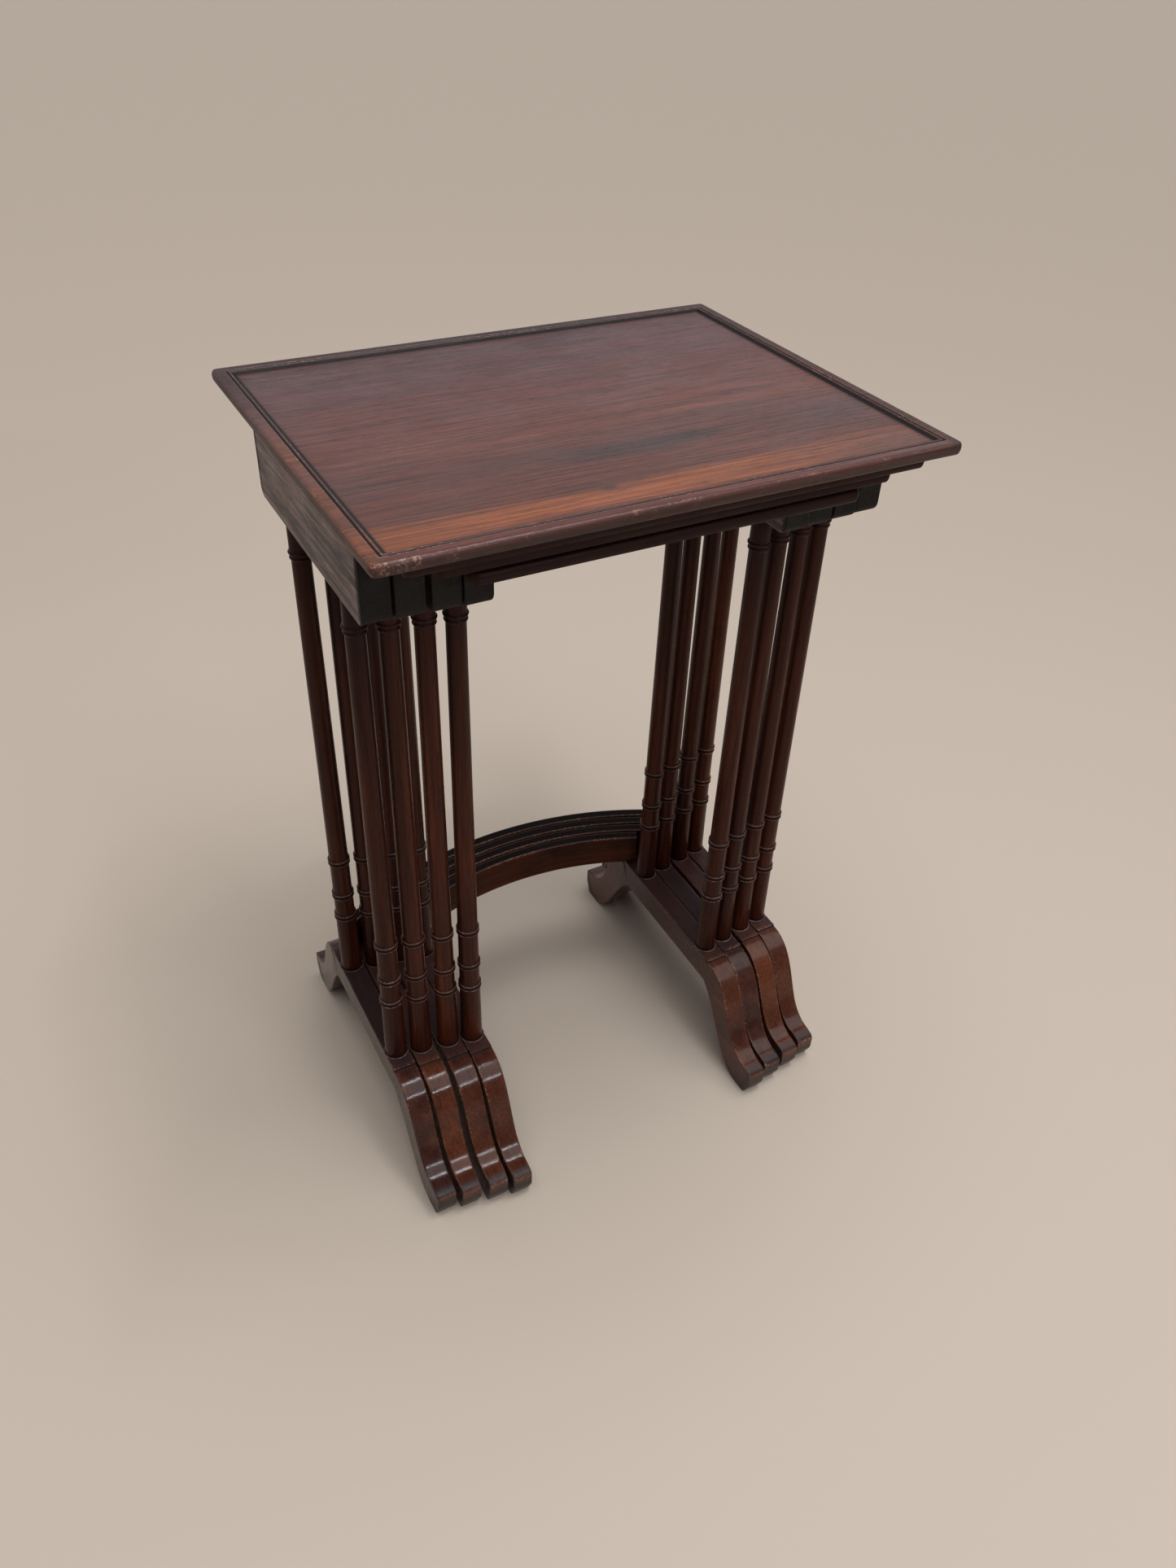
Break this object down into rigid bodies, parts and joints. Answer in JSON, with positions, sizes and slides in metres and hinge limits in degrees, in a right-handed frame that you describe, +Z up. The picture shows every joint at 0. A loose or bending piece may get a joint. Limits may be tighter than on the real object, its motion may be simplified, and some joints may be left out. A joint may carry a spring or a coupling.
{
  "type": "nest of tables",
  "caption": "Nest of occasional tables on ring-turned columns and ogee sledge feet with bowed stretchers; each smaller table slides out from under the next.",
  "frame": {"origin": "on the floor under the middle of the closed nest's bounding box", "axes": "+Z up, the nest faces -Y (the smaller tables slide out that way), +X to the right seen from the front"},
  "size_m": [0.478, 0.3854, 0.72],
  "materials": {
    "top": "french-polished mahogany, worn satin",
    "rail": "polished mahogany, worn satin",
    "column": "dark polished mahogany, satin",
    "sledge_foot": "dark polished mahogany, satin",
    "stretcher": "dark polished mahogany, satin",
    "screw": "dull, slightly tarnished steel"
  },
  "bodies": {
    "largest_table": {"largest_top": "top", "largest_left_rail": "rail", "largest_right_rail": "rail", "largest_left_sledge_foot": "sledge_foot", "largest_right_sledge_foot": "sledge_foot", "largest_stretcher": "stretcher", "largest_front_left_column": "column", "largest_front_right_column": "column", "largest_back_left_column": "column", "largest_back_right_column": "column", "largest_front_left_screw": "screw", "largest_front_right_screw": "screw", "largest_back_left_screw": "screw", "largest_back_right_screw": "screw"},
    "second_table": {"second_top": "top", "second_left_rail": "rail", "second_right_rail": "rail", "second_left_sledge_foot": "sledge_foot", "second_right_sledge_foot": "sledge_foot", "second_stretcher": "stretcher", "second_front_left_column": "column", "second_front_right_column": "column", "second_back_left_column": "column", "second_back_right_column": "column", "second_front_left_screw": "screw", "second_front_right_screw": "screw", "second_back_left_screw": "screw", "second_back_right_screw": "screw"},
    "third_table": {"third_top": "top", "third_left_rail": "rail", "third_right_rail": "rail", "third_left_sledge_foot": "sledge_foot", "third_right_sledge_foot": "sledge_foot", "third_stretcher": "stretcher", "third_front_left_column": "column", "third_front_right_column": "column", "third_back_left_column": "column", "third_back_right_column": "column", "third_front_left_screw": "screw", "third_front_right_screw": "screw", "third_back_left_screw": "screw", "third_back_right_screw": "screw"},
    "smallest_table": {"smallest_top": "top", "smallest_left_rail": "rail", "smallest_right_rail": "rail", "smallest_left_sledge_foot": "sledge_foot", "smallest_right_sledge_foot": "sledge_foot", "smallest_stretcher": "stretcher", "smallest_front_left_column": "column", "smallest_front_right_column": "column", "smallest_back_left_column": "column", "smallest_back_right_column": "column", "smallest_front_left_screw": "screw", "smallest_front_right_screw": "screw", "smallest_back_left_screw": "screw", "smallest_back_right_screw": "screw"}
  },
  "joints": [
    {"name": "second_table_slide", "type": "slide", "parent": "largest_table", "child": "second_table", "axis": [0, -1, 0], "range_m": [0, 0.38]},
    {"name": "third_table_slide", "type": "slide", "parent": "second_table", "child": "third_table", "axis": [0, -1, 0], "range_m": [0, 0.38]},
    {"name": "smallest_table_slide", "type": "slide", "parent": "third_table", "child": "smallest_table", "axis": [0, -1, 0], "range_m": [0, 0.38]}
  ]
}
